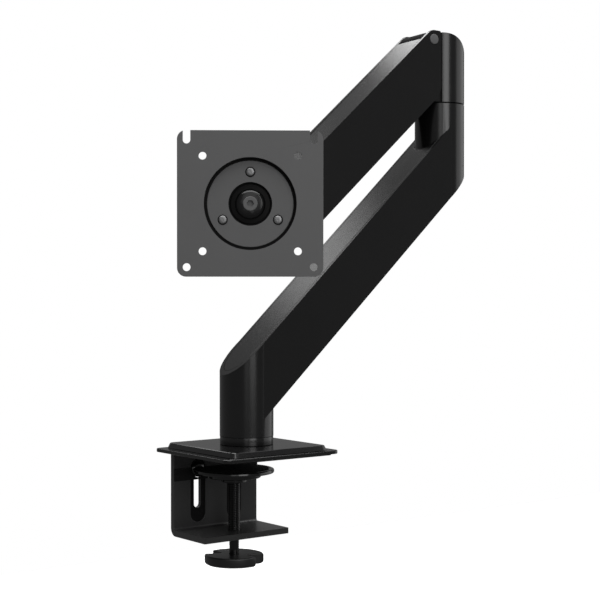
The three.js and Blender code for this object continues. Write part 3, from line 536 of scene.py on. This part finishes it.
def elbow_bracket():
    low, top, hub = 304.4, 366.0, 6.6
    back = REACH + 22.25
    shape = [(LIFT.x - hub, low), (back, low)] + arc(back - 33, top - 33, 33, 0, 90, 32)
    shape += [(LIFT.x, top), (LIFT.x, LIFT.z), (LIFT.x - hub, LIFT.z)]
    column = rod(22.25, low, top, "z", (REACH, 0), 128)
    turned = keep(prism(shape, -23, 23, "xz"), cut(column, box(0, 187, -60, 60, 0, 400)))
    plain = join(rod(22.25, low, top, "z", (REACH, 0), 128), box(150, REACH, -30, 30, low - 5, top + 5))
    tongue = keep(prism(shape, -18, 18, "xz"), plain)
    wedge = prism([(LIFT.x, LIFT.z)] + arc(LIFT.x, LIFT.z, 9, 35, 180, 24), -60, 60, "xz")
    body = join(cut(join(turned, tongue), wedge), rod(hub, -18, 18, "y", (LIFT.x, LIFT.z), 64))
    lanes = [box(LIFT.x - 20, LIFT.x + 12.5, a, b, LIFT.z - 39, LIFT.z - 8)
        for a, b in ((-12.1, -2.9), (6.4, 13.6))]
    holes = [rod(4.8, -60, 60, "y", (LIFT.x, LIFT.z), 48), rod(3.8, -60, 0.9, "y", (LIFT.x, LIFT.z - 20), 40),
             rod(4.3, 1.8, 60, "y", (LIFT.x, LIFT.z - 24), 40),
                 rod(10.8, low - 5, 330.3, "z", (REACH, 0), 64)]
    finish(cut(body, *lanes, *holes), "elbow_casting", "elbow_bracket", "arm", ARM, bevel=0.35, angle=30)


def pivot_pins():
    for node, x, z in (("lift_pin", LIFT.x, LIFT.z),
        ("head_pin", LIFT.x - 210 * math.cos(math.radians(SLOPE)),
                                                      LIFT.z - 210 * math.sin(math.radians(SLOPE)))):
        finish(rod(4.5, -22.3, 22.3, "y", (x, z), 64, soft=0.5), node + "_capped", node, "plate", ARM,
            bevel=0)


# Upper arm ----------------------------------------------------------------------------------------


def in_upper(x, z):
    c, s = math.cos(math.radians(SLOPE)), math.sin(math.radians(SLOPE))
    return c * x + s * z, c * z - s * x


def upper_arm():
    shape = [(-197, -40), (-33, -40)] + [
        in_upper(*p) for p in ((6.3, -45.4), (7.8, -43), (7.8, 6), (6.2, 7.7))
    ]
    shape += arc(0, 0, 8, 90 - SLOPE, 90, 12) + arc(-210, 0, 9, 90, 200, 20)
    walls = [prism(shape, a, a + 3.6, "xz") for a in (-22, 18.4)]
    web = box(-195, -18, -19, 19, 4.6, 6)
    rib = box(-176, -160, -1.5, 2.5, -25, 5.5)
    rungs = [rod(2.5, -19, 19, "y", (x, -36), 32) for x in (-60, -150)]
    body = join(walls[0], web, walls[1], rib, *rungs)
    body = cut(body, rod(4.8, -60, 60, "y", (0, 0), 64), rod(4.8, -60, 60, "y", (-210, 0), 64),
               rod(3.8, -20.4, 3, "y", (-168, -17.2), 40))
    finish(body, "upper_arm_channel", "upper_arm", "arm", UPPER, bevel=0.4, angle=28)


def upper_cover():
    finish(box(-200, -8.6, -18, 18, 6.3, 8.1), "upper_cover_strip", "upper_cover", "cover", UPPER, bevel=0.4)


def end_cap():
    shape = arc(0, 0, 8.4, 93, 150, 16) + arc(0, 0, 7, 150, 93, 16)
    finish(prism(shape, -18, 18, "xz"), "end_cap_moulded", "end_cap", "cover", UPPER, bevel=0.3)


# Head ---------------------------------------------------------------------------------------------


def vesa_plate():
    face, back, sink = -70.9, -68.4, -66.4
    plan = round_rect(115, 115, 7, 0, HEAD_Z, 14)
    blank = prism(plan, face, back, "xz")
    hole = rod(37.4, -80, -60, "y", (0, HEAD_Z), 128)
    bowl = lathe([(36.5, face), (36.5, sink + 1.6), (34.4, sink + 1.6), (33.9, sink), (17.25, sink),
        (17.25, sink + 2.5),
                  (38, sink + 2.5), (38.4, back), (38.4, face)], "y", (0, 0, HEAD_Z), 160)
    plate = join(cut(blank, hole), bowl)
    tools = []
    for a, b in ((-37.5, 37.5), (37.5, 37.5), (-37.5, -37.5), (37.5, -37.5), (-50, -50), (50, -50)):
        tools.append(rod(3.1, -80, -60, "y", (a, HEAD_Z + b), 48))
    for a in (-50, 50):
        tools.append(prism(slot_outline(6, HEAD_Z + 47, HEAD_Z + 70, a), -80, -60, "xz"))
    for a, b in screw_places():
        tools.append(lathe([(0, -75), (5.3, -75), (5.3, sink), (4.3, sink + 0.5), (0, sink + 0.5)], "y",
            (a, 0, b), 48))
        tools.append(rod(2.3, -80, -60, "y", (a, b), 32))
        tools.append(ring(4, 3.3, sink - 1, sink + 1.3, "y", (a, b), 48))

    # Painted shade: the groove round the dish, the rings round the screw dimples and the central hole get the
    # near-black look so they read as shaded hollows.
    def shade_in_recesses(c):
        middle = math.hypot(c.x, c.z - HEAD_Z)
        near = min(math.hypot(c.x - a, c.z - b) for a, b in screw_places())
        groove = 34.2 < middle < 36.8 and c.y > face + 0.2
        return groove or near < 4.15 and c.y > sink + 0.4 or middle < 17.4 and c.y > sink + 0.2

    finish(cut(plate, *tools), "vesa_plate_pressed", "vesa_plate", "plate", HEAD, 0.3, 2, 35, shade_in_recesses)


def screw_places():
    return [(25.2 * math.cos(math.radians(t)), HEAD_Z + 25.2 * math.sin(math.radians(t)))
        for t in (90, 210, 330)]


def dish_screws():
    for (x, z), node in zip(screw_places(), ("dish_screw_top", "dish_screw_left", "dish_screw_right")):
        head = lathe([(0, -66.2), (3.2, -66.2), (3.2, -66.9), (2.9, -67.15), (2.45, -67.3), (0, -67.3)],
            "y", (x, 0, z), 48)
        body = cut(join(head, rod(2, -66.4, -59.6, "y", (x, z), 24)), rod(1.2, -70, -66.8, "y", (x, z), 6))
        finish(body, node + "_pan", node, "pan", HEAD, bevel=0)


def centre_parts():
    head = cut(join(rod(5.8, -70.3, -67.3, "y", (0, HEAD_Z), 64, soft=0.6),
        rod(4, -67.8, -47.5, "y", (0, HEAD_Z), 40)),
               rod(2.9, -71, -68.3, "y", (0, HEAD_Z), 6))
    finish(head, "centre_bolt_socket", "centre_bolt", "plate", HEAD, bevel=0.15, segments=2)
    cone = lathe([(4.3, -64.5), (12, -64.5), (11.6, -65.3), (9.6, -66.9), (9.2, -67), (4.3, -67)], "y",
        (0, 0, HEAD_Z))
    finish(cone, "cone_washer_turned", "cone_washer", "screw", HEAD, bevel=0)


def bush(node, outer, inner, low, high, look, at=(0, 0), place=BASE):
    finish(ring(outer, inner, low, high, "z", at, 96, soft=0.25), node + "_turned", node, look, place,
        bevel=0)


def base_inside():
    finish(prism(round_rect(104, 92, 4, 0, -4.5), 0, 0.8), "desk_pad_rubber", "desk_pad", "rubber", bevel=0.2)
    shaft = join(rod(26, 4.4, 5.9, soft=0.3), rod(11, 4.4, 60.5, soft=0.6))
    finish(cut(shaft, rod(5.3, 0, 36, sides=48)), "pole_spindle_turned", "pole_spindle", "steel", bevel=0)
    bolt = cut(join(rod(9, 1.1, 2.4, soft=0.3), rod(5, 1.1, 34, sides=64, soft=0.5)),
        rod(3.5, 0, 1.9, sides=6))
    finish(bolt, "spindle_bolt_socket", "spindle_bolt", "dark_steel", bevel=0)
    bush("pole_bush_low", 14.7, 11.3, 16, 28, "nylon", place=ARM)
    bush("pole_bush_high", 14.7, 11.3, 48, 60, "nylon", place=ARM)


def elbow_inside():
    at = (REACH, 0)
    bush("elbow_bush", 13.7, 10.8, 268.3, 302.9, "nylon", at, ARM)
    bush("elbow_washer", 20.5, 10.8, 303.5, 304.1, "rubber", at, ARM)
    bush("elbow_disc", 14.4, 8.3, 259.7, 261.7, "dark_steel", at, ARM)
    finish(rod(14.7, 239.5, 242.5, "z", at, soft=0.5), "elbow_plug_moulded", "elbow_plug", "cover", ARM,
        bevel=0)
    spindle = join(rod(10.5, 268.3, 330, "z", at, soft=0.6), rod(8, 249, 269, "z", at, soft=0.6))
    finish(spindle, "elbow_spindle_turned", "elbow_spindle", "steel", ARM, bevel=0)
    nut = cut(rod(13.5, 250, 259.4, "z", at, 6), rod(8.3, 240, 265, "z", at, 64))
    finish(nut, "elbow_nut_hex", "elbow_nut", "dark_steel", ARM, bevel=0.4)
    pin = rod(3.5, -17.5, 0.6, "y", (LIFT.x, LIFT.z - 20), 48, soft=0.4)
    finish(pin, "spring_anchor_pin_turned", "spring_anchor_pin", "steel", ARM, bevel=0)


def spring():
    line, y = -17.2, -7.2
    body = join(rod(9, -155, -52, "x", (y, line), 96, soft=1.2),
        box(-168, -154, y - 4, y + 4, line - 6, line + 6),
                rod(6, y - 4, y + 4, "y", (-168, line), 64))
    body = cut(body, rod(4.3, -100, -50, "x", (y, line), 48), rod(3.8, -30, 5, "y", (-168, line), 48))
    finish(body, "spring_cylinder_painted", "spring_cylinder", "screw", UPPER, bevel=0.4, angle=35)
    finish(rod(3.5, -20.1, 2.2, "y", (-168, line), 48, soft=0.4), "spring_pin_turned", "spring_pin",
        "steel", UPPER, bevel=0)
    finish(rod(4, -97, -21, "x", (y, line), 64, soft=0.4), "spring_rod_ground", "spring_rod", "steel",
        UPPER, bevel=0)
    collar = join(box(-31.5, -17.7, y - 4, y + 4, line - 5.5, line + 5.5),
        rod(8.8, y - 4, y + 4, "y", (-13.7, line), 64))
    socket = box(-33, -20.7, y - 5, y + 5, line - 4.3, line + 4.3)
    collar = cut(collar, rod(6.4, -20, 5, "y", (-13.7, line), 64), socket)
    finish(collar, "rod_end_steel", "rod_end", "dark_steel", UPPER, bevel=0.35, angle=35)


TIP = (LIFT.x - 210 * math.cos(math.radians(SLOPE)), LIFT.z - 210 * math.sin(math.radians(SLOPE)))


def link_and_bracket():
    (x1, z1), (x0, z0) = (TIP[0], TIP[1] - 24), (LIFT.x, LIFT.z - 24)
    dx, dz = 5 * math.sin(math.radians(SLOPE)), 5 * math.cos(math.radians(SLOPE))
    bar = prism([(x1 - dx, z1 + dz), (x1 + dx, z1 - dz), (x0 + dx, z0 - dz), (x0 - dx, z0 + dz)], 7, 13, "xz")
    link = join(bar, *[rod(7, 7, 13, "y", at, 64) for at in ((x1, z1), (x0, z0))])
    link = cut(link, *[rod(4.3, -5, 30, "y", at, 48) for at in ((x1, z1), (x0, z0))])
    finish(link, "parallel_link_steel", "parallel_link", "dark_steel", ARM, bevel=0.5, angle=35)
    for node, at in (("link_pin", (x0, z0)), ("head_link_pin", (x1, z1))):
        finish(rod(4, 2.1, 17.5, "y", at, 48, soft=0.4), node + "_turned", node, "steel", ARM, bevel=0)
    side = [(TIP[0] - 6.5, 176), (TIP[0] + 6.6, 176), (TIP[0] + 6.6, TIP[1])] + arc(*TIP, 6.5, 0, 180, 24)
    foot = join(rod(13, 176, 190, "z", (3.7, 0)), box(3.7, TIP[0], -13, 13, 176, 190))
    body = cut(join(foot, prism(side, -18, 18, "xz")),
               box(TIP[0] - 7.6, TIP[0] + 20, 6.4, 13.6, TIP[1] - 36, TIP[1] - 8.5),
               rod(4.8, -60, 60, "y", TIP, 64), rod(4.3, 1.8, 60, "y", (x1, z1), 48),
               rod(6.3, 178, 195, "z", (3.7, 0), 64))
    finish(body, "head_bracket_casting", "head_bracket", "arm", ARM, bevel=0.7, angle=30)


def knuckle():
    bush("swivel_washer", 11, 6.3, 190.3, 191.1, "nylon", place=HEAD)
    bush("swivel_top_washer", 9.5, 6.3, 219.3, 220.5, "steel", place=HEAD)
    top = lathe([(0, 225.2), (7, 225.2), (7.6, 224.6), (8.5, 220.8), (0, 220.8)][::-1], "z", (0, 0, 0), 64)
    bolt = cut(join(top, rod(6, 178.3, 221.8, sides=64)), rod(3.5, 222.8, 227, sides=6))
    finish(bolt, "swivel_bolt_socket", "swivel_bolt", "dark_steel", HEAD, bevel=0)
    z = HEAD_Z
    ears = []
    for x in (-18, 13):
        ears.append(box(x, x + 5, -40, -23, z - 10, z + 10))
        ears.append(rod(10, x, x + 5, "x", (-40, z), 64))
    body = join(rod(11.5, 191.4, 219), box(-10, 10, -24, 0, z - 12, z + 12),
        box(-18, 18, -28.5, -23, z - 12, z + 12), *ears)
    body = cut(body, rod(6.3, 180, 230, sides=64), rod(4.3, -60, 60, "x", (-40, z), 48))
    finish(body, "head_knuckle_casting", "head_knuckle", "arm", HEAD, bevel=0.8, angle=30)
    bolt = join(rod(4, -20.5, 26.5, "x", (-40, z), 48, soft=0.5),
        rod(6.5, -25.5, -19.5, "x", (-40, z), 64, soft=0.6))
    finish(cut(bolt, rod(2.9, -30, -22, "x", (-40, z), 6)), "tilt_bolt_socket", "tilt_bolt", "dark_steel",
        HEAD, bevel=0)
    nut = cut(rod(7.4, 19.8, 25.3, "x", (-40, z), 6), rod(4.3, 14, 29, "x", (-40, z), 48))
    finish(nut, "tilt_nut_hex", "tilt_nut", "dark_steel", HEAD, bevel=0.5)
    for node, x in (("tilt_washer_left", -19.2), ("tilt_washer_right", 18.3)):
        finish(ring(8, 4.3, x, x + 0.9, "x", (-40, z), 64, soft=0.2), node + "_flat", node, "steel", HEAD,
            bevel=0)


def turntable():
    z, axis = HEAD_Z, (0, HEAD_Z)
    disc = lathe([(0, -61.9), (12.2, -61.9), (12.2, -58), (21, -58), (21, -54), (9, -52.6), (0, -52)],
        "y", (0, 0, z))
    body = join(rod(9.5, -12.4, 12.4, "x", (-40, z)), rod(9, -55, -40, "y", axis), disc)
    body = cut(body, rod(4.3, -62.5, -47, "y", axis, 48), rod(4.3, -60, 60, "x", (-40, z), 48))
    finish(body, "tilt_head_casting", "tilt_head", "arm", HEAD, bevel=0.5, angle=35)
    # The retaining washer behind the central hole gets the painted shade look, which stands for the hole's shade
    # rather than the washer's own finish.
    for node, outer, inner, back, front, look in (("friction_washer", 20, 12.5, -58.3, -58.9, "nylon"),
                                                  ("retaining_washer", 15.6, 4.3, -62.2, -64.2, "pocket")):
        finish(ring(outer, inner, front, back, "y", axis, soft=0.2), node + "_flat", node, look, HEAD,
            bevel=0)
    disc = lathe([(12.5, -59.2), (30, -59.2), (30, -63.6), (16.4, -63.6), (16.4, -61.9), (12.5, -61.9)],
        "y", (0, 0, z))
    disc = cut(disc, *[rod(2.3, -80, -50, "y", at, 32) for at in screw_places()])
    # The rotor also gets the painted shade look, standing for the shade inside the central hole.
    finish(disc, "rotor_turned", "rotor", "pocket", HEAD, bevel=0.3, angle=35)


base_plate()
base_cover()
pole_ring()
clamp_bracket()
slot_screws()
edge_strip()
pressure_disc()
clamp_screw()
clamp_knob()
lower_arm()
lower_cover()
elbow_bracket()
pivot_pins()
upper_arm()
upper_cover()
end_cap()
vesa_plate()
dish_screws()
centre_parts()
base_inside()
elbow_inside()
spring()
link_and_bracket()
knuckle()
turntable()

# Floor --------------------------------------------------------------------------------------------

FLOOR_DROP = 0.25  # the clamp hangs from a desk, so the floor is well below it
floor = prism([(-4, -4), (4, -4), (4, 1.2), (-4, 1.2)], -0.004, 0)
scene.collection.objects.link(floor)
floor.name = "floor"
floor.location.z = cad_bounds[0][2] - FLOOR_DROP
floor.visible_glossy = False
floor.visible_diffuse = False
floor.data.materials.append(material("pale_floor", (0.9, 0.9, 0.9), 0.7, grain=40, depth=0.02,
    spread=0.01, specular=0.1))
